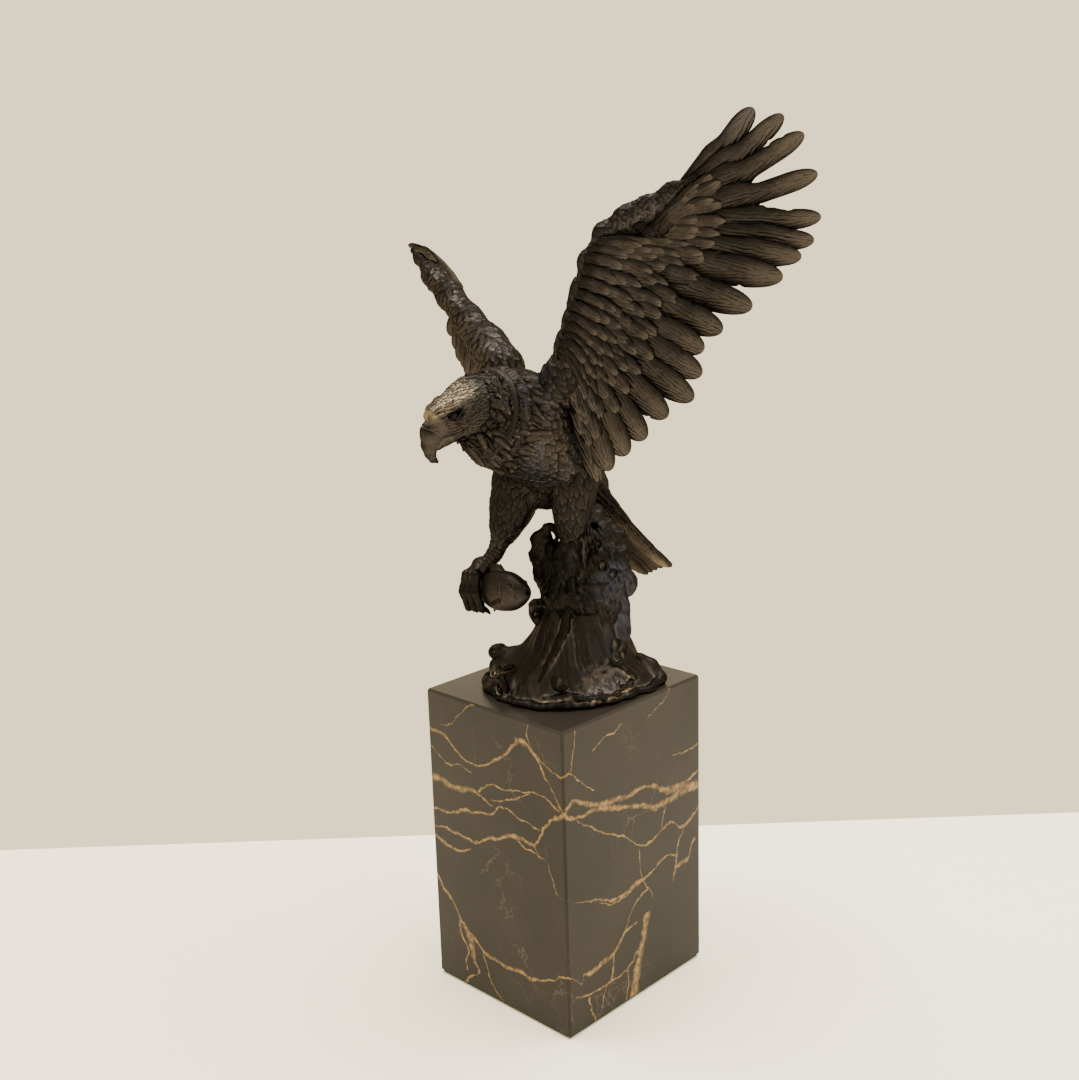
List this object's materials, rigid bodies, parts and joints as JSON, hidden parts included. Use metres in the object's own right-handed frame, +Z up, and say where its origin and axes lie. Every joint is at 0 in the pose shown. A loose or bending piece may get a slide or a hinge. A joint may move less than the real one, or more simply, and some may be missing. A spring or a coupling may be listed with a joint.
{
  "type": "bronze statuette",
  "caption": "Bronze eagle with raised wings landing on a breaking wave with a fish in one foot, bolted to a veined marble plinth.",
  "frame": {"origin": "centre of the flat underside, on the face it rests on", "axes": "+Z up; the eagle faces -Y, so its left wing is on +X and its tail points to +Y"},
  "size_m": [0.2995, 0.1764, 0.461],
  "materials": {
    "bronze": "dark brown patina, rubbed gold on the high places, waxed",
    "dowel_bronze": "plain turned bronze",
    "marble": "polished dark stone with gold veins",
    "steel": "plain zinc-plated steel",
    "felt": "thin black felt"
  },
  "bodies": {
    "root": {"felt_pad": "felt", "marble_plinth": "marble", "mounting_studs": "steel", "mounting_washers": "steel", "mounting_nuts": "steel", "wave_base": "bronze", "crest_curl": "bronze", "side_curl": "bronze", "splash_column": "bronze", "torso": "bronze", "head": "bronze", "left_wing": "bronze", "right_wing": "bronze", "tail_fan": "bronze", "left_leg": "bronze", "right_leg": "bronze", "fish": "bronze", "wing_dowels": "dowel_bronze", "hip_dowels": "dowel_bronze", "tail_dowel": "dowel_bronze", "foot_dowel": "dowel_bronze", "fish_dowel": "dowel_bronze"}
  },
  "joints": []
}
